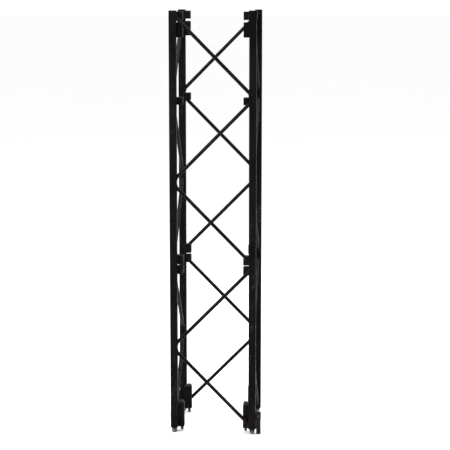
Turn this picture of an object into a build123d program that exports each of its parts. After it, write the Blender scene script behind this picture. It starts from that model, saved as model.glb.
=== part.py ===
from build123d import *
import os

# Lighting truss section, standing on its four foot spigots, +Z up, front at -Y. Millimetres.
# Corners are named front_left, front_right, back_right and back_left, seen from the front.

# driving dimensions
WIDTH = 305.0            # outer width across two chords
TUBE = 25.4              # chord, square tube
WALL = 2.0
TUBE_CORNER = 3.0
ROD_DIAMETER = 12.7      # lacing rod
PANEL = 296.4            # height of one lacing panel
PANELS = 5
FIRST_NODE = 15.0        # height of the lowest lacing node
TUBE_BOTTOM = 18.0       # lower tube end, the plane where two sections meet
NODE_OFFSET = 6.4        # rod centre lines meet this far outboard of the chord's axis
FIT = 0.05               # side gap of a plug pushed into a tube

AXIS = (WIDTH - TUBE) / 2
INNER = AXIS - TUBE / 2
TOP_NODE = FIRST_NODE + PANEL * PANELS
UPPER_NODE = TOP_NODE - PANEL
CENTRE_NODE = FIRST_NODE + PANEL * 2
TUBE_TOP = TOP_NODE + 6

# corner blocks wrap the inner edge of a chord and carry the vertical connecting bolts
BLOCK_OUT = 21.0         # stands this far off the chord's inner faces
BLOCK_WRAP = 6.05        # runs this far back along the chord's inner faces, just short of the rods
BLOCK_ROUND = 2.0
BREAK = 0.8              # chamfer that breaks the outer edges of blocks and tube ends
SLEEVE_BREAK = 1.6       # the same on the foot sleeves
BOLT_AXIS = INNER - 12.0
LUG_BORE = 5.5

FOOT_SLEEVE = (16.5, 104.0)
TOP_LUG = (TUBE_TOP - 33, TUBE_TOP - 4)
TOP_SLEEVE = (TUBE_TOP - 93, TUBE_TOP - 41)
UPPER_LUG = (UPPER_NODE - 24, UPPER_NODE + 2)
CENTRE_UPPER_LUG = (CENTRE_NODE + 3, CENTRE_NODE + 36)
CENTRE_LOWER_LUG = (CENTRE_NODE - 32, CENTRE_NODE - 3)

# connecting bolts, M10, captive in the foot sleeves
THREAD_RADIUS = 5.0
SHANK_RADIUS = 5.5       # the smooth shank is thicker than the thread and ends at the ring
BOLT_TIP = 3.0
BOLT_BORE = 5.8
FLANGE = (9.0, 2.0)      # radius, thickness
HEX = (15.0, 5.0)        # across flats, height
BOLT_TRAVEL = 22.0
RING = (6.4, 1.2)        # radius, thickness
RING_HEIGHT = 19.5
GROOVE_RADIUS = 4.7
POCKET_RADIUS = 7.0
POCKET_TOP = RING_HEIGHT + RING[1] + BOLT_TRAVEL + 0.8
TAP_RADIUS = 4.25        # tapping size of the M10 thread insert
INSERT = (7.0, 20.0)     # radius, length

# spigots in the chord feet and the sockets in the chord tops that take them
CONE = (10.0, 9.1, 4.0)  # upper radius, lower radius, height
NOSE_ROUND = 6.0
PLUG_LENGTH = 30.0
SOCKET = (10.15, 9.25, 26.0) # mouth radius, bore radius, depth below the mouth
SOCKET_LENGTH = 42.0

# swing clasps on the outer feet of two chords, and the keepers that they catch
PIVOT_OUT = 10.3         # pivot pin axis, off the chord's outer face
PIVOT_HEIGHT = 66.0
PIN_RADIUS = 3.0
PIN_GAP = 0.08
EYE_RADIUS = 7.7
PLATE = 2.0
CLASP_DEPTH = 18.5
BRACKET = (50.0, 78.0)   # height range of the cheeks
BRACKET_FOOT = 20.0      # the base plate runs on down behind the arm
BRACKET_WIDTH = 20.0
ARM_WIDTH = 15.4
ARM_FOOT = 1.5
FOOT_ROUND = 2.0
ARM_FACE = (2.6, 18.0)   # inner and outer face, off the chord
NOTCH = (6.0, 11.5, 5.6) # low, high, depth
NOTCH_WIDTH = 9.2
KEEPER_HEIGHT = TUBE_TOP - 9.25
KEEPER_NIB = (5.6, 2.2)  # centre of its round end off the chord, radius
NIB_WIDTH = 8.0
KEEPER_PLATE = (TUBE_TOP - 26, TUBE_TOP - 2)

CORNERS = {"front_left": 0, "front_right": 90, "back_right": 180, "back_left": 270}
FACES = {"front": 0, "right": 90, "back": 180, "left": 270}
CLASP_SIDES = {"right": 0, "left": 180}


def turned(turn, height=0.0):
    """Level plane at a height, turned about the truss's centre line."""
    along = Vector(1, 0, 0).rotate(Axis.Z, turn)
    return Plane(origin=(0, 0, height), x_dir=along, z_dir=(0, 0, 1))


def save(builder, name):
    builder.part.label = name
    export_step(builder.part, f"parts/{name}.step")


def break_ends(builder, amount=BREAK):
    """Chamfers the outlines of the lowest and highest faces; called inside the builder's block."""
    levels = builder.faces().filter_by(Axis.Z).group_by(Axis.Z)
    ends = levels[0] + levels[-1]
    chamfer([edge for face in ends for edge in face.outer_wire().edges()], amount)


def chord(turn):
    """Square tube, standing in the corner that lies at low x and low y before the turn."""
    with BuildPart() as tube:
        with BuildSketch(turned(turn, TUBE_BOTTOM)):
            with Locations((-AXIS, -AXIS)):
                RectangleRounded(TUBE, TUBE, TUBE_CORNER)
                inside = TUBE - 2 * WALL
                RectangleRounded(inside, inside, TUBE_CORNER - WALL, mode=Mode.SUBTRACT)
        extrude(amount=TUBE_TOP - TUBE_BOTTOM)
        break_ends(tube)
    return tube


def rod(turn, level, from_left):
    """Straight lacing rod between two nodes of one face, cut flush at the chords' inner faces."""
    side = -1 if from_left else 1
    reach = AXIS + NODE_OFFSET
    high = Vector(side * reach, -AXIS, TOP_NODE - PANEL * level).rotate(Axis.Z, turn)
    low = Vector(-side * reach, -AXIS, TOP_NODE - PANEL * (level + 1)).rotate(Axis.Z, turn)
    across = Vector(1, 0, 0).rotate(Axis.Z, turn)
    with BuildPart() as bar:
        with BuildSketch(Plane(origin=high, z_dir=low - high)):
            Circle(ROD_DIAMETER / 2)
        extrude(amount=(low - high).length)
        split(bisect_by=Plane(origin=across * INNER, z_dir=across), keep=Keep.BOTTOM)
        split(bisect_by=Plane(origin=across * -INNER, z_dir=across), keep=Keep.TOP)
    return bar


def block_outline():
    """L-shaped section that wraps a chord's inner edge; drawn inside a BuildSketch block."""
    span = BLOCK_OUT + BLOCK_WRAP
    centre = -INNER + (BLOCK_OUT - BLOCK_WRAP) / 2
    with Locations((centre, centre)):
        RectangleRounded(span, span, BLOCK_ROUND)
    with Locations((-INNER, -INNER)):
        Rectangle(TUBE, TUBE, align=(Align.MAX, Align.MAX), mode=Mode.SUBTRACT)


def bolt_circle(radius, mode=Mode.ADD):
    """Circle on the bolt axis of one corner; drawn inside a BuildSketch block."""
    with Locations((-BOLT_AXIS, -BOLT_AXIS)):
        Circle(radius, mode=mode)


def blocks(turns, heights, radius):
    """Corner blocks between two heights, one at each turn, bored through."""
    low, high = heights
    with BuildPart() as group:
        for turn in turns:
            with BuildSketch(turned(turn, low)):
                block_outline()
                bolt_circle(radius, Mode.SUBTRACT)
            extrude(amount=high - low)
        break_ends(group)
    return group


def top_lugs():
    """Blocks at the chord tops, each with a deep seat for a thread insert."""
    low, high = TOP_LUG
    radius, length = INSERT
    with BuildPart() as group:
        for turn in CORNERS.values():
            with BuildSketch(turned(turn, low)):
                block_outline()
                bolt_circle(LUG_BORE, Mode.SUBTRACT)
            extrude(amount=high - low)
            with BuildSketch(turned(turn, high - length)):
                bolt_circle(radius)
            extrude(amount=length, mode=Mode.SUBTRACT)
        break_ends(group)
    return group


def thread_inserts():
    radius, length = INSERT
    with BuildPart() as group:
        for turn in CORNERS.values():
            with BuildSketch(turned(turn, TOP_LUG[1] - length)):
                bolt_circle(radius)
                bolt_circle(TAP_RADIUS, Mode.SUBTRACT)
            extrude(amount=length)
        mouths = group.edges().filter_by(GeomType.CIRCLE).group_by(Axis.Z)[-1]
        chamfer([edge for edge in mouths if edge.radius < radius - 1], 0.75)
    return group


def foot_sleeve(turn):
    """Long block with the bolt's bore and, from below, the pocket of its retaining ring."""
    low, high = FOOT_SLEEVE
    with BuildPart() as sleeve:
        with BuildSketch(turned(turn, low)):
            block_outline()
            bolt_circle(BOLT_BORE, Mode.SUBTRACT)
        extrude(amount=high - low)
        with BuildSketch(turned(turn, low)):
            bolt_circle(POCKET_RADIUS)
        extrude(amount=POCKET_TOP - low, mode=Mode.SUBTRACT)
        break_ends(sleeve, SLEEVE_BREAK)
    return sleeve


def connecting_bolt(turn):
    """Flanged hex bolt, head resting on the foot sleeve, tip below the meeting plane."""
    seat = FOOT_SLEEVE[1]
    flange_radius, flange_height = FLANGE
    flats, hex_height = HEX
    with BuildPart() as bolt:
        with BuildSketch(turned(turn, BOLT_TIP)):
            bolt_circle(THREAD_RADIUS)
        extrude(amount=RING_HEIGHT - BOLT_TIP)
        chamfer(bolt.edges().group_by(Axis.Z)[0], 1.4)
        with BuildSketch(turned(turn, RING_HEIGHT)):
            bolt_circle(GROOVE_RADIUS)
        extrude(amount=RING[1])
        with BuildSketch(turned(turn, RING_HEIGHT + RING[1])):
            bolt_circle(SHANK_RADIUS)
        extrude(amount=seat - RING_HEIGHT - RING[1])
        with BuildSketch(turned(turn, seat)):
            bolt_circle(flange_radius)
        extrude(amount=flange_height)
        with BuildSketch(turned(turn, seat + flange_height)):
            with Locations((-BOLT_AXIS, -BOLT_AXIS)):
                RegularPolygon(flats / 2, 6, major_radius=False)
        extrude(amount=hex_height)
        chamfer(bolt.faces().sort_by(Axis.Z)[-1].edges(), 0.8)
    return bolt


def retaining_ring(turn):
    """Open snap ring in the bolt's groove."""
    radius, thickness = RING
    with BuildPart() as ring:
        with BuildSketch(turned(turn, RING_HEIGHT)):
            bolt_circle(radius)
            bolt_circle(GROOVE_RADIUS, Mode.SUBTRACT)
            with Locations((-BOLT_AXIS + radius / 2, -BOLT_AXIS)):
                Rectangle(radius + 1, 1.6, mode=Mode.SUBTRACT)
        extrude(amount=thickness)
    return ring


def plug_section():
    """Square section that fits inside a chord tube; drawn inside a BuildSketch block."""
    inside = TUBE - 2 * WALL - 2 * FIT
    with Locations((-AXIS, -AXIS)):
        RectangleRounded(inside, inside, TUBE_CORNER - WALL)


def spigot(turn):
    """Plug in the chord's foot with a cone and a rounded nose below it."""
    upper, lower, height = CONE
    nose_top = TUBE_BOTTOM - height
    with BuildPart() as plug:
        with BuildSketch(turned(turn, TUBE_BOTTOM)):
            plug_section()
        extrude(amount=PLUG_LENGTH)
        with BuildSketch(turned(turn, nose_top)):
            with Locations((-AXIS, -AXIS)):
                Circle(lower)
        with BuildSketch(turned(turn, TUBE_BOTTOM)):
            with Locations((-AXIS, -AXIS)):
                Circle(upper)
        loft()
        with BuildSketch(turned(turn)):
            with Locations((-AXIS, -AXIS)):
                Circle(lower)
        extrude(amount=nose_top)
        fillet(plug.edges().group_by(Axis.Z)[0], NOSE_ROUND)
    return plug


def socket(turn):
    """Bush in the chord's top with a conical mouth and a blind round bore."""
    mouth, radius, depth = SOCKET
    cone_height = CONE[2]
    with BuildPart() as bush:
        with BuildSketch(turned(turn, TUBE_TOP - SOCKET_LENGTH)):
            plug_section()
        extrude(amount=SOCKET_LENGTH)
        with BuildSketch(turned(turn, TUBE_TOP - depth)):
            with Locations((-AXIS, -AXIS)):
                Circle(radius)
        extrude(amount=depth, mode=Mode.SUBTRACT)
        with BuildSketch(turned(turn, TUBE_TOP - cone_height)):
            with Locations((-AXIS, -AXIS)):
                Circle(radius)
        with BuildSketch(turned(turn, TUBE_TOP)):
            with Locations((-AXIS, -AXIS)):
                Circle(mouth)
        loft(mode=Mode.SUBTRACT)
    return bush


def side_plane(turn, across=0.0):
    """Upright plane through a front_right chord's axis: local x leads out of it, local y up."""
    out = Vector(1, 0, 0).rotate(Axis.Z, turn)
    origin = Vector(WIDTH / 2, -AXIS + across, 0).rotate(Axis.Z, turn)
    return Plane(origin=origin, x_dir=out, z_dir=Vector(0, -1, 0).rotate(Axis.Z, turn))


def clasp_brackets():
    """Channel brackets: a base on the chord's outer face and two cheeks that hold the pin."""
    low, high = BRACKET
    cheek = (BRACKET_WIDTH - ARM_WIDTH) / 2 - 0.3
    with BuildPart() as group:
        for turn in CLASP_SIDES.values():
            with BuildSketch(side_plane(turn)):
                with Locations((0, BRACKET_FOOT)):
                    Rectangle(PLATE, high - BRACKET_FOOT, align=(Align.MIN, Align.MIN))
            extrude(amount=BRACKET_WIDTH / 2, both=True)
            for side in (-1, 1):
                middle = side * (BRACKET_WIDTH - cheek) / 2
                with BuildSketch(side_plane(turn, middle)):
                    with Locations((0, low)):
                        Rectangle(CLASP_DEPTH, high - low, align=(Align.MIN, Align.MIN))
                    with Locations((PIVOT_OUT, PIVOT_HEIGHT)):
                        Circle(PIN_RADIUS, mode=Mode.SUBTRACT)
                extrude(amount=cheek / 2, both=True)
    return group


def clasp_pins():
    with BuildPart() as group:
        for turn in CLASP_SIDES.values():
            with BuildSketch(side_plane(turn)):
                with Locations((PIVOT_OUT, PIVOT_HEIGHT)):
                    Circle(PIN_RADIUS)
            extrude(amount=BRACKET_WIDTH / 2 + 0.8, both=True)
    return group


def clasp_arm(turn):
    """Hanging arm with an eye on the pin and a notch that catches a keeper's nib."""
    inner, outer = ARM_FACE
    low, high, depth = NOTCH
    with BuildPart() as arm:
        with BuildSketch(side_plane(turn)):
            with Locations((PIVOT_OUT, PIVOT_HEIGHT)):
                Circle(EYE_RADIUS)
            with Locations((inner, ARM_FOOT)):
                Rectangle(outer - inner, PIVOT_HEIGHT - ARM_FOOT, align=(Align.MIN, Align.MIN))
            with Locations((PIVOT_OUT, PIVOT_HEIGHT)):
                Circle(PIN_RADIUS + PIN_GAP, mode=Mode.SUBTRACT)
        extrude(amount=ARM_WIDTH / 2, both=True)
        with BuildSketch(side_plane(turn)):
            with Locations((inner, low)):
                Rectangle(depth, high - low, align=(Align.MIN, Align.MIN))
        extrude(amount=NOTCH_WIDTH / 2, both=True, mode=Mode.SUBTRACT)
        foot_edges = arm.edges().filter_by(Axis.Y).group_by(Axis.Z)[0]
        fillet(foot_edges.sort_by(Axis((0, 0, 0), side_plane(turn).x_dir))[-1], FOOT_ROUND)
        outward = Axis((0, 0, 0), side_plane(turn).x_dir)
        chamfer(arm.edges().filter_by(Axis.Z).group_by(outward)[-1], BREAK)
    return arm


def keepers():
    """Keepers at the chord tops: a base plate with a round-ended nib in its middle."""
    low, high = KEEPER_PLATE
    nib_out, nib_radius = KEEPER_NIB
    with BuildPart() as group:
        for turn in CLASP_SIDES.values():
            with BuildSketch(side_plane(turn)):
                with Locations((0, low)):
                    Rectangle(PLATE, high - low, align=(Align.MIN, Align.MIN))
            extrude(amount=BRACKET_WIDTH / 2, both=True)
            with BuildSketch(side_plane(turn)):
                with Locations((nib_out, KEEPER_HEIGHT)):
                    Circle(nib_radius)
                with Locations((0, KEEPER_HEIGHT)):
                    Rectangle(nib_out, 2 * nib_radius, align=(Align.MIN, Align.CENTER))
            extrude(amount=NIB_WIDTH / 2, both=True)
    return group


def main():
    os.makedirs("parts", exist_ok=True)
    for corner, turn in CORNERS.items():
        save(chord(turn), f"chord_{corner}")
        save(foot_sleeve(turn), f"foot_sleeve_{corner}")
        save(spigot(turn), f"spigot_{corner}")
        save(socket(turn), f"socket_{corner}")
        save(connecting_bolt(turn), f"bolt_{corner}")
        save(retaining_ring(turn), f"ring_{corner}")
    for face, turn in FACES.items():
        for level in range(PANELS):
            save(rod(turn, level, level % 2 == 0), f"{face}_rod_{level + 1}")
    everywhere = list(CORNERS.values())
    save(top_lugs(), "top_lugs")
    save(thread_inserts(), "thread_inserts")
    save(blocks(everywhere, TOP_SLEEVE, LUG_BORE), "top_sleeves")
    save(blocks(everywhere, UPPER_LUG, LUG_BORE), "upper_lugs")
    save(blocks(everywhere, CENTRE_UPPER_LUG, LUG_BORE), "centre_upper_lugs")
    save(blocks(everywhere, CENTRE_LOWER_LUG, LUG_BORE), "centre_lower_lugs")
    save(clasp_brackets(), "clasp_brackets")
    save(clasp_pins(), "clasp_pins")
    save(keepers(), "keepers")
    for side, turn in CLASP_SIDES.items():
        save(clasp_arm(turn), f"clasp_arm_{side}")


main()
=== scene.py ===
import math

import bmesh
import bpy
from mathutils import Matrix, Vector


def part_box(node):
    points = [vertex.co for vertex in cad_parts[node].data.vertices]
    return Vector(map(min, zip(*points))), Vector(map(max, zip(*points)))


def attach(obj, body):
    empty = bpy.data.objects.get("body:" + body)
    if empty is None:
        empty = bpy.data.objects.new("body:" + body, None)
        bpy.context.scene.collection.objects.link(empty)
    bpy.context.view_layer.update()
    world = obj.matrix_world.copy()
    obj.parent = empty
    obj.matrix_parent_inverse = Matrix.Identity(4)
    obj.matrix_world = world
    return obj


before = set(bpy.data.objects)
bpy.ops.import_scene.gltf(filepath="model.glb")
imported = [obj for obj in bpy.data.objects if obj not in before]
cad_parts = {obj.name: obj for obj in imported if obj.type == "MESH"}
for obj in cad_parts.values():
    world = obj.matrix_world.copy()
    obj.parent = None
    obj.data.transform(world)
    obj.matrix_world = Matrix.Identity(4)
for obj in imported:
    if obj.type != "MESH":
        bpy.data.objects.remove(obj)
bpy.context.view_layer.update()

MM = 0.001
CORNERS = {"front_left": (-1, -1), "front_right": (1, -1), "back_right": (1, 1), "back_left": (-1, 1)}
FACES = ("front", "right", "back", "left")
LUG_GROUPS = ("top_lugs", "top_sleeves", "upper_lugs", "centre_upper_lugs", "centre_lower_lugs")
CLASP_SIDES = {"right": 1, "left": -1}

# how far rounding and wear reach in from a sharp edge
PAINT_EDGE = 1.9 * MM
METAL_EDGE = 0.9 * MM
SPIGOT_EDGE = 1.2 * MM
# depths of the fine relief
PEEL_DEPTH = 0.09 * MM
MARK_DEPTH = 0.05 * MM
# the band round a spigot's nose that is painted bright: bare steel rubbed by stacking, which also stands
# in for a painted highlight
NOSE_WEAR_AND_HIGHLIGHT_HEIGHT = 7.5 * MM
NOSE_WEAR_AND_HIGHLIGHT_CORE = 2 * MM
NOSE_WEAR_AND_HIGHLIGHT_REACH = 6 * MM

# weld beads
BEAD_STEP = 0.45 * MM        # between the rings of a straight bead
BEAD_SCALE = 1.7 * MM        # length of one scale of the bead
ROD_BEAD = 1.9 * MM          # bead radius round a rod's end
ROD_BEAD_ACUTE = 2.1 * MM    # what the acute corner adds to it
ROD_BEAD_OUT = 0.3 * MM      # bead centre, off the rod's wall
ROD_BEAD_RINGS = 144
BLOCK_BEAD = 1.5 * MM
CLASP_BEAD = 1.4 * MM
CLASP_BEAD_INSET = 2 * MM

# threads on the bolt tips
THREAD_PITCH = 1.5 * MM
THREAD_PATH = 4.75 * MM      # radius of the ridge's helix
THREAD_RIDGE = 0.5 * MM      # radius of the ridge
THREAD_STEPS = 24            # rings in one turn
THREAD_RUN_OUT = 0.3         # part of its height that the ridge has at both ends
THREAD_FOOT = 1.8 * MM       # from the bolt's tip to the thread
THREAD_HEAD = 1.0 * MM       # from the thread to the retaining ring

# peened heads of the clasp pins
HEAD_SINK = 0.1 * MM
HEAD_BACK = (-0.8 * MM, 4.4 * MM)     # its chamfered back: distance along the pin, and radius
HEAD_EDGE = (-0.6 * MM, -0.2 * MM)    # distances along the pin where the straight rim starts and ends
HEAD_RIM = 4.8 * MM
HEAD_CROWN = 1.4 * MM        # height of the dome over the rim
HEAD_DOME = 4.2 * MM
HEAD_FLAT = 0.5 * MM         # radius of the flat on top of the dome
HEAD_STEPS = 6

FLOOR_RADIUS = 90.0
CAMERA_PLACE = (0.515, -5.384, 1.572)
CAMERA_TARGET = (0.030, 0.0, 0.734)
CAMERA_LENS = 121.2
SKY_STRENGTH = 1.04

# places and radii worked out from the frame
chord_low, chord_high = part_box("chord_front_right")
CHORD_OUTER = chord_high.x
CHORD_INNER = chord_low.x
sleeve_low, sleeve_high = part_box("foot_sleeve_front_right")
BLOCK_BACK = sleeve_high.x   # where a corner block ends on its chord's inner face
bolt_low, bolt_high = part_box("bolt_front_right")
BOLT_AXIS = (bolt_low.x + bolt_high.x) / 2
rod_low, rod_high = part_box("front_rod_1")
ROD_RADIUS = (rod_high.y - rod_low.y) / 2
ROD_PLANE = (rod_high.y + rod_low.y) / 2    # y of the front rods and of the front chords' axes
pin_low, pin_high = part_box("clasp_pins")
PIN_RADIUS = (pin_high.z - pin_low.z) / 2


# ---------------------------------------------------------------- materials

def new_material(name):
    """An empty principled material: its node tree and its shader."""
    material = bpy.data.materials.new(name)
    material.use_nodes = True
    tree = material.node_tree
    return material, tree, tree.nodes["Principled BSDF"]


def put(tree, socket, value):
    """Links a socket, or sets its value."""
    if isinstance(value, bpy.types.NodeSocket):
        tree.links.new(value, socket)
    else:
        socket.default_value = value


def node(tree, kind, inputs=None, **settings):
    made = tree.nodes.new(kind)
    for key, value in settings.items():
        setattr(made, key, value)
    for key, value in (inputs or {}).items():
        put(tree, made.inputs[key], value)
    return made


def calc(tree, operation, first, second=0.0, clamp=False):
    made = node(tree, "ShaderNodeMath", {0: first, 1: second}, operation=operation, use_clamp=clamp)
    return made.outputs[0]


def blend_colour(tree, factor, first, second):
    made = node(tree, "ShaderNodeMix", {0: factor, 6: first, 7: second}, data_type="RGBA")
    return made.outputs[2]


def blend_value(tree, factor, first, second):
    made = node(tree, "ShaderNodeMix", {0: factor, 2: first, 3: second}, data_type="FLOAT")
    return made.outputs[0]


def ramp(tree, value, low, high):
    """0 below low, 1 above high, smooth between."""
    made = node(tree, "ShaderNodeMapRange", {0: value, 1: low, 2: high}, interpolation_type="SMOOTHSTEP")
    return made.outputs[0]


def place(tree, stretch=(1, 1, 1)):
    """Coordinates that stay with the piece, in metres, stretched along an axis by a small factor."""
    where = node(tree, "ShaderNodeTexCoord").outputs["Object"]
    return node(tree, "ShaderNodeMapping", {"Vector": where, "Scale": stretch}).outputs[0]


def noise(tree, scale, detail=3.0, rough=0.5, stretch=(1, 1, 1)):
    inputs = {"Vector": place(tree, stretch), "Scale": scale, "Detail": detail, "Roughness": rough}
    return node(tree, "ShaderNodeTexNoise", inputs).outputs[0]


def edge_mask(tree, radius):
    """How close a point is to a sharp outer edge, and the normal that rounds that edge."""
    soft = node(tree, "ShaderNodeBevel", {"Radius": radius}, samples=4).outputs[0]
    true = node(tree, "ShaderNodeNewGeometry").outputs["Normal"]
    same = node(tree, "ShaderNodeVectorMath", {0: soft, 1: true}, operation="DOT_PRODUCT").outputs["Value"]
    return calc(tree, "SUBTRACT", 1.0, same, clamp=True), soft


def bumped(tree, height, distance, normal):
    inputs = {"Height": height, "Distance": distance, "Strength": 1.0, "Normal": normal}
    return node(tree, "ShaderNodeBump", inputs).outputs[0]


def up_facing(tree):
    normal = node(tree, "ShaderNodeNewGeometry").outputs["Normal"]
    return node(tree, "ShaderNodeSeparateXYZ", {0: normal}).outputs[2]


def paint(name, dark, light, chip, wear, gloss):
    """Powder coat: fine orange peel, uneven sheen, dust on ledges, upright scuffs, edges rubbed bare."""
    material, tree, shader = new_material(name)
    edge, soft = edge_mask(tree, PAINT_EDGE)
    broad = noise(tree, 9.0, 4.0, 0.6)
    patch = noise(tree, 46.0, 5.0, 0.6)
    streak = noise(tree, 160.0, 3.0, 0.6, (1, 1, 0.06))
    fine = noise(tree, 700.0, 2.0, 0.5)
    colour = blend_colour(tree, ramp(tree, broad, 0.35, 0.68), dark, light)
    scuff = calc(tree, "MULTIPLY", ramp(tree, streak, 0.53, 0.66), ramp(tree, patch, 0.5, 0.64))
    colour = blend_colour(tree, calc(tree, "MULTIPLY", scuff, 0.5), colour, (0.036, 0.032, 0.03, 1))
    dust = calc(tree, "MULTIPLY", ramp(tree, up_facing(tree), 0.35, 0.95), ramp(tree, patch, 0.35, 0.7))
    colour = blend_colour(tree, calc(tree, "MULTIPLY", dust, 0.2), colour, (0.16, 0.14, 0.12, 1))
    rubbed = calc(tree, "MULTIPLY", edge, 4.2)
    rubbed = calc(tree, "ADD", rubbed, calc(tree, "SUBTRACT", patch, 0.5))
    rubbed = calc(tree, "ADD", rubbed, calc(tree, "MULTIPLY", calc(tree, "SUBTRACT", fine, 0.5), 0.6))
    bare = ramp(tree, rubbed, wear, wear + 0.16)
    colour = blend_colour(tree, bare, colour, chip)
    rough = blend_value(tree, ramp(tree, patch, 0.36, 0.64), gloss - 0.1, gloss + 0.14)
    rough = blend_value(tree, bare, rough, 0.42)
    put(tree, shader.inputs["Base Color"], colour)
    put(tree, shader.inputs["Roughness"], rough)
    put(tree, shader.inputs["Metallic"], calc(tree, "MULTIPLY", bare, 0.85))
    shader.inputs["Specular IOR Level"].default_value = 0.06
    peel = calc(tree, "ADD", fine, calc(tree, "MULTIPLY", patch, 0.8))
    height = calc(tree, "SUBTRACT", peel, calc(tree, "MULTIPLY", bare, 0.9))
    put(tree, shader.inputs["Normal"], bumped(tree, height, PEEL_DEPTH, soft))
    return material


def bare_metal(name, base, tint, rough_low, rough_high, mark_scale):
    """Dark plated steel: fine level marks, uneven tone, grime, and corners rubbed bright."""
    material, tree, shader = new_material(name)
    edge, soft = edge_mask(tree, METAL_EDGE)
    patch = noise(tree, 150.0, 5.0, 0.62)
    grime = noise(tree, 38.0, 4.0, 0.6)
    marks = noise(tree, mark_scale, 3.0, 0.6, (0.05, 0.05, 1))
    colour = blend_colour(tree, ramp(tree, patch, 0.35, 0.7), base, tint)
    shine = ramp(tree, calc(tree, "ADD", edge, calc(tree, "MULTIPLY", patch, 0.4)), 0.3, 0.55)
    colour = blend_colour(tree, shine, colour, (0.2, 0.19, 0.17, 1))
    dirt = ramp(tree, calc(tree, "SUBTRACT", grime, calc(tree, "MULTIPLY", edge, 0.5)), 0.5, 0.72)
    colour = blend_colour(tree, calc(tree, "MULTIPLY", dirt, 0.6), colour, (0.012, 0.0095, 0.0085, 1))
    rough = blend_value(tree, patch, rough_low, rough_high)
    rough = blend_value(tree, dirt, rough, 0.7)
    put(tree, shader.inputs["Base Color"], colour)
    put(tree, shader.inputs["Roughness"], rough)
    put(tree, shader.inputs["Metallic"], calc(tree, "SUBTRACT", 1.0, calc(tree, "MULTIPLY", dirt, 0.5)))
    height = calc(tree, "ADD", marks, calc(tree, "MULTIPLY", patch, 0.5))
    put(tree, shader.inputs["Normal"], bumped(tree, height, MARK_DEPTH, soft))
    return material


def spigot_wear_and_painted_highlight(name):
    """Blackened steel with turning marks and rims rubbed bright; round the nose, patches of bright bare
    steel that are partly stacking wear and partly a painted highlight.
    """
    material, tree, shader = new_material(name)
    edge, soft = edge_mask(tree, SPIGOT_EDGE)
    where = node(tree, "ShaderNodeTexCoord").outputs["Object"]
    height = node(tree, "ShaderNodeSeparateXYZ", {0: where}).outputs[2]
    patch = noise(tree, 130.0, 4.0, 0.55)
    grain = noise(tree, 420.0, 4.0, 0.6)
    marks = noise(tree, 1500.0, 3.0, 0.6, (0.05, 0.05, 1))
    # painted highlight: a band of bright bare-steel patches round the nose, partly rubbed by stacking and
    # partly placed where a highlight falls on it
    off_wear_and_highlight_band = calc(tree, "ABSOLUTE", calc(tree, "SUBTRACT", height, NOSE_WEAR_AND_HIGHLIGHT_HEIGHT))
    nose_wear_and_highlight_band = calc(tree, "SUBTRACT", 1.0, ramp(tree, off_wear_and_highlight_band, NOSE_WEAR_AND_HIGHLIGHT_CORE, NOSE_WEAR_AND_HIGHLIGHT_REACH))
    rubbed = calc(tree, "MULTIPLY", nose_wear_and_highlight_band, ramp(tree, patch, 0.44, 0.62))
    rims = ramp(tree, calc(tree, "ADD", edge, calc(tree, "MULTIPLY", grain, 0.3)), 0.3, 0.6)
    rubbed = calc(tree, "MAXIMUM", rubbed, rims)
    # bright bare steel for the worn rims and for the painted highlight band on the nose
    steel = blend_colour(tree, grain, (0.34, 0.3, 0.285, 1), (0.2, 0.165, 0.155, 1))
    put(tree, shader.inputs["Base Color"], blend_colour(tree, rubbed, (0.011, 0.0085, 0.0082, 1), steel))
    put(tree, shader.inputs["Metallic"], rubbed)
    put(tree, shader.inputs["Roughness"], blend_value(tree, patch, 0.3, 0.52))
    shader.inputs["Specular IOR Level"].default_value = 0.25
    put(tree, shader.inputs["Normal"], bumped(tree, calc(tree, "ADD", marks, grain), MARK_DEPTH, soft))
    return material


def floor_material():
    material, tree, shader = new_material("pale_floor")
    tone = noise(tree, 0.8, 4.0, 0.5)
    colour = blend_colour(tree, tone, (0.93, 0.93, 0.93, 1), (0.95, 0.95, 0.95, 1))
    put(tree, shader.inputs["Base Color"], colour)
    shader.inputs["Roughness"].default_value = 0.85
    shader.inputs["Specular IOR Level"].default_value = 0.1
    return material


BLACK = paint("black_powder_coat", (0.0005, 0.0002, 0.0004, 1), (0.0032, 0.0022, 0.0026, 1),
              (0.085, 0.078, 0.074, 1), 0.62, 0.56)
ROD_BLACK = paint("rod_powder_coat", (0.0024, 0.0013, 0.0015, 1), (0.0048, 0.0028, 0.0031, 1),
                  (0.085, 0.075, 0.07, 1), 0.66, 0.38)
WELD_BLACK = paint("painted_weld", (0.0023, 0.002, 0.0021, 1), (0.0046, 0.0038, 0.0038, 1),
                   (0.05, 0.043, 0.038, 1), 0.8, 0.55)
CLASP_BLACK = paint("worn_clasp_coat", (0.006, 0.004, 0.0041, 1), (0.011, 0.0074, 0.0075, 1),
                    (0.1, 0.085, 0.078, 1), 0.6, 0.42)
ZINC = bare_metal("aged_zinc", (0.05, 0.048, 0.043, 1), (0.02, 0.0185, 0.0165, 1), 0.32, 0.52, 900.0)
TURNED = spigot_wear_and_painted_highlight("spigot_steel_wear_and_painted_highlight")


def dress_cad():
    """Gives every CAD node its material."""
    for name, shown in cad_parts.items():
        if "_rod_" in name:
            finish = ROD_BLACK
        elif name.startswith(("spigot", "socket")):
            finish = TURNED
        elif name.startswith(("bolt", "ring", "thread", "clasp_pins")):
            finish = ZINC
        elif name.startswith(("clasp", "keepers")):
            finish = CLASP_BLACK
        else:
            finish = BLACK
        shown.data.materials.clear()
        shown.data.materials.append(finish)


# ---------------------------------------------------------------- mesh tools

def make_piece(name, mesh, material, body):
    """Turns a bmesh into a smooth-shaded piece that rides on a body."""
    data = bpy.data.meshes.new(name)
    bmesh.ops.recalc_face_normals(mesh, faces=mesh.faces)
    mesh.to_mesh(data)
    mesh.free()
    data.shade_smooth()
    data.materials.append(material)
    piece = bpy.data.objects.new(name, data)
    bpy.context.scene.collection.objects.link(piece)
    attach(piece, body)
    return piece


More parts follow.
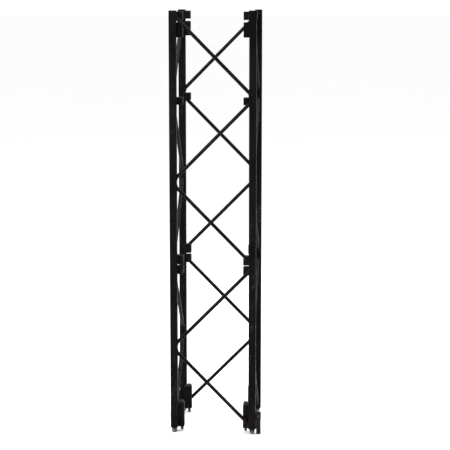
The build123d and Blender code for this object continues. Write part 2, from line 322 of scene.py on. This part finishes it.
def tube(mesh, points, radii, closed, sides=10):
    """Adds a round tube along points, with its own radius at each of them."""
    count = len(points)
    rings = []
    for index, point in enumerate(points):
        after = points[(index + 1) % count] if closed or index < count - 1 else point
        before = points[index - 1] if closed or index > 0 else point
        along = (after - before).normalized()
        across = along.cross(Vector((0.31, 0.52, 0.79))).normalized()
        upward = along.cross(across)
        ring = []
        for side in range(sides):
            turn = 2 * math.pi * side / sides
            offset = across * math.cos(turn) + upward * math.sin(turn)
            ring.append(mesh.verts.new(point + offset * radii[index]))
        rings.append(ring)
    spans = count if closed else count - 1
    for index in range(spans):
        first, second = rings[index], rings[(index + 1) % count]
        for side in range(sides):
            following = (side + 1) % sides
            mesh.faces.new((first[side], first[following], second[following], second[side]))
    if not closed:
        mesh.faces.new(rings[0])
        mesh.faces.new(rings[-1])


def ripple(travelled):
    """Height of a weld's overlapping scales, from 0 to 1, after a length of bead."""
    phase = (travelled / BEAD_SCALE) % 1.0
    return phase ** 0.6 * (1 - phase ** 6)


def weld_run(mesh, start, end, size, drift):
    """A straight fillet bead with ripples, a slow wander in width, and tapered ends."""
    length = (end - start).length
    count = max(8, int(length / BEAD_STEP))
    points, radii = [], []
    for index in range(count + 1):
        part = index / count
        travelled = part * length
        wander = 1 + 0.1 * math.sin(travelled / (5.5 * MM) + drift)
        wander += 0.06 * math.sin(travelled / (2.3 * MM) + 2 * drift)
        taper = min(1.0, 0.35 + min(part, 1 - part) * length / (2 * size))
        points.append(start.lerp(end, part))
        radii.append(size * wander * taper * (0.86 + 0.16 * ripple(travelled)))
    tube(mesh, points, radii, False, 8)


# ---------------------------------------------------------------- welds

def rod_weld(mesh, centre, along, normal, drift):
    """The bead round one rod's end, on the chord face that the rod butts against.

    The rod's wall meets the flat face in an ellipse. The bead is fuller in the acute corner. The drift
    shifts the wander of its width, so that no two beads look alike."""
    side = along.cross(normal).normalized()
    rise = along.cross(side).normalized()
    travelled = 0.0
    points, radii = [], []
    for index in range(ROD_BEAD_RINGS):
        turn = 2 * math.pi * index / ROD_BEAD_RINGS
        offset = side * math.cos(turn) + rise * math.sin(turn)
        slide = -(offset.dot(normal)) / along.dot(normal)
        point = centre + (offset + along * slide) * ROD_RADIUS
        if points:
            travelled += (point - points[-1]).length
        outward = offset - normal * offset.dot(normal)
        acute = max(0.0, offset.dot(normal)) ** 1.5
        size = ROD_BEAD + ROD_BEAD_ACUTE * acute
        wander = 1 + 0.1 * math.sin(3 * turn + drift) + 0.05 * math.sin(7 * turn + 2 * drift)
        points.append(point + outward * ROD_BEAD_OUT)
        radii.append(size * wander * (0.86 + 0.17 * ripple(travelled)))
    tube(mesh, points, radii, True, 10)


def rod_ends(name):
    """Where a rod's centre line meets the chords' inner faces, and the level direction between them."""
    low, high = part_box(name)
    face, number = name.split("_rod_")
    inward = Vector((1, 0, 0)) if face in ("front", "back") else Vector((0, 1, 0))
    falls_right = (int(number) % 2 == 1) == (face in ("front", "right"))
    middle = (low + high) / 2
    height = high.z - low.z
    reach = 2 * CHORD_INNER
    rise = reach * math.tan(solve_slope(height, reach))
    sign = 1 if falls_right else -1
    left = middle - inward * CHORD_INNER + Vector((0, 0, sign * rise / 2))
    right = middle + inward * CHORD_INNER - Vector((0, 0, sign * rise / 2))
    return left, right, inward


def solve_slope(height, reach):
    """Slope of a rod, from its box's height: its rise plus the upright height of its cut end."""
    angle = math.radians(45)
    for _ in range(30):
        rise = height - 2 * ROD_RADIUS / math.cos(angle)
        angle = math.atan(rise / reach)
    return angle


def build_rod_welds():
    for face in FACES:
        mesh = bmesh.new()
        for number in range(1, 6):
            left, right, inward = rod_ends(f"{face}_rod_{number}")
            along = (right - left).normalized()
            rod_weld(mesh, left, along, inward, number * 1.7 + len(face))
            rod_weld(mesh, right, -along, -inward, number * 2.9 + len(face))
        make_piece(f"rod_welds_{face}", mesh, WELD_BLACK, "truss")


def block_spans():
    """Height range of each kind of corner block."""
    spans = {"foot_sleeve": (sleeve_low.z, sleeve_high.z)}
    for group in LUG_GROUPS:
        low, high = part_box(group)
        spans[group] = (low.z, high.z)
    return spans


def build_block_welds():
    """Upright beads along both edges of every corner block, on the chord's two inner faces."""
    for group, (low, high) in block_spans().items():
        mesh = bmesh.new()
        for x_side, y_side in CORNERS.values():
            for swap in (False, True):
                across, out = BLOCK_BACK, CHORD_INNER
                x, y = (across, out) if swap else (out, across)
                foot = Vector((x_side * x, y_side * y, low + BLOCK_BEAD))
                head = Vector((x_side * x, y_side * y, high - BLOCK_BEAD))
                weld_run(mesh, foot, head, BLOCK_BEAD, x_side + 2 * y_side + low * 40 + swap)
        make_piece(f"block_welds_{group}", mesh, WELD_BLACK, "truss")


def build_clasp_welds():
    """Beads down both long edges of the clasp brackets and the keepers."""
    for name in ("clasp_brackets", "keepers"):
        low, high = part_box(name)
        mesh = bmesh.new()
        half = (high.y - low.y) / 2 + ROD_PLANE    # half the width of one of the two
        for side in CLASP_SIDES.values():
            for edge in (-1, 1):
                y = side * ROD_PLANE + edge * half
                foot = Vector((side * CHORD_OUTER, y, low.z + CLASP_BEAD_INSET))
                head = Vector((side * CHORD_OUTER, y, high.z - CLASP_BEAD_INSET))
                weld_run(mesh, foot, head, CLASP_BEAD, edge + side + low.z)
        make_piece(f"{name}_welds", mesh, WELD_BLACK, "truss")


# ---------------------------------------------------------------- small hardware

def build_bolt_threads():
    """M10 thread on each bolt, from its tip to the retaining ring: a ridge that follows a helix."""
    for corner, (x_side, y_side) in CORNERS.items():
        axis_x, axis_y = x_side * BOLT_AXIS, y_side * BOLT_AXIS
        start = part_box(f"bolt_{corner}")[0].z + THREAD_FOOT
        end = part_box(f"ring_{corner}")[0].z - THREAD_HEAD
        steps = int((end - start) / THREAD_PITCH * THREAD_STEPS)
        points, radii = [], []
        for index in range(steps + 1):
            turns = index / THREAD_STEPS
            angle = 2 * math.pi * turns
            x = axis_x + THREAD_PATH * math.cos(angle)
            y = axis_y + THREAD_PATH * math.sin(angle)
            points.append(Vector((x, y, start + THREAD_PITCH * turns)))
            fade = min(1.0, THREAD_RUN_OUT + min(turns, (steps - index) / THREAD_STEPS))
            radii.append(THREAD_RIDGE * fade)
        mesh = bmesh.new()
        tube(mesh, points, radii, False, 8)
        make_piece(f"bolt_thread_{corner}", mesh, ZINC, f"bolt_{corner}")


def lathe(mesh, centre, axis, profile, steps=32):
    """Turns a profile of (distance along the axis, radius) pairs into a closed round solid."""
    side = axis.orthogonal().normalized()
    other = axis.cross(side).normalized()
    rings = []
    for along, radius in profile:
        ring = []
        for step in range(steps):
            turn = 2 * math.pi * step / steps
            offset = side * math.cos(turn) + other * math.sin(turn)
            ring.append(mesh.verts.new(centre + axis * along + offset * radius))
        rings.append(ring)
    for first, second in zip(rings, rings[1:]):
        for step in range(steps):
            following = (step + 1) % steps
            mesh.faces.new((first[step], first[following], second[following], second[step]))
    mesh.faces.new(rings[0])
    mesh.faces.new(rings[-1])


def build_pin_heads():
    """Peened heads on both ends of each clasp pin."""
    low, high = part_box("clasp_pins")
    half = (high.y - low.y) / 2 + ROD_PLANE    # half the length of one of the two pins
    mesh = bmesh.new()
    rim_low, rim_high = HEAD_EDGE
    profile = [HEAD_BACK, (rim_low, HEAD_RIM), (rim_high, HEAD_RIM)]
    for step in range(1, HEAD_STEPS + 1):
        turn = math.radians(90 * step / HEAD_STEPS)
        profile.append((rim_high + HEAD_CROWN * math.sin(turn), HEAD_FLAT + HEAD_DOME * math.cos(turn)))
    for side in CLASP_SIDES.values():
        x = side * (high.x - PIN_RADIUS)
        for end in (-1, 1):
            centre = Vector((x, side * ROD_PLANE + end * (half - HEAD_SINK), (low.z + high.z) / 2))
            lathe(mesh, centre, Vector((0, end, 0)), profile)
    make_piece("clasp_pin_heads", mesh, ZINC, "truss")


# ---------------------------------------------------------------- studio

def build_floor():
    mesh = bmesh.new()
    bmesh.ops.create_circle(mesh, cap_ends=True, segments=96, radius=FLOOR_RADIUS)
    data = bpy.data.meshes.new("studio_floor")
    mesh.to_mesh(data)
    mesh.free()
    data.materials.append(floor_material())
    floor = bpy.data.objects.new("studio_floor", data)
    bpy.context.scene.collection.objects.link(floor)


def aim(thing, target):
    thing.rotation_euler = (Vector(target) - thing.location).to_track_quat("-Z", "Y").to_euler()


def softbox(name, location, target, size, power):
    light = bpy.data.lights.new(name, "AREA")
    light.shape = "RECTANGLE"
    light.size, light.size_y = size
    light.energy = power
    lamp = bpy.data.objects.new(name, light)
    lamp.location = location
    aim(lamp, target)
    bpy.context.scene.collection.objects.link(lamp)


def build_studio():
    world = bpy.data.worlds.new("studio")
    world.use_nodes = True
    sky = world.node_tree.nodes["Background"]
    sky.inputs["Color"].default_value = (1.0, 1.0, 1.0, 1)
    sky.inputs["Strength"].default_value = SKY_STRENGTH
    bpy.context.scene.world = world
    softbox("key", (-2.6, -3.2, 3.6), (0, 0, 0.9), (1.4, 1.8), 160)
    softbox("top", (0.4, 0.6, 4.2), (0, 0, 0.8), (2.2, 2.2), 120)
    softbox("rim", (3.2, 1.6, 2.2), (0, 0, 0.8), (0.8, 2.0), 24)


def build_camera():
    data = bpy.data.cameras.new("camera")
    data.lens = CAMERA_LENS
    camera = bpy.data.objects.new("camera", data)
    camera.location = CAMERA_PLACE
    aim(camera, CAMERA_TARGET)
    bpy.context.scene.collection.objects.link(camera)
    bpy.context.scene.camera = camera


dress_cad()
build_rod_welds()
build_block_welds()
build_clasp_welds()
build_bolt_threads()
build_pin_heads()
build_floor()
build_studio()
build_camera()
bpy.context.scene.view_settings.view_transform = "Standard"
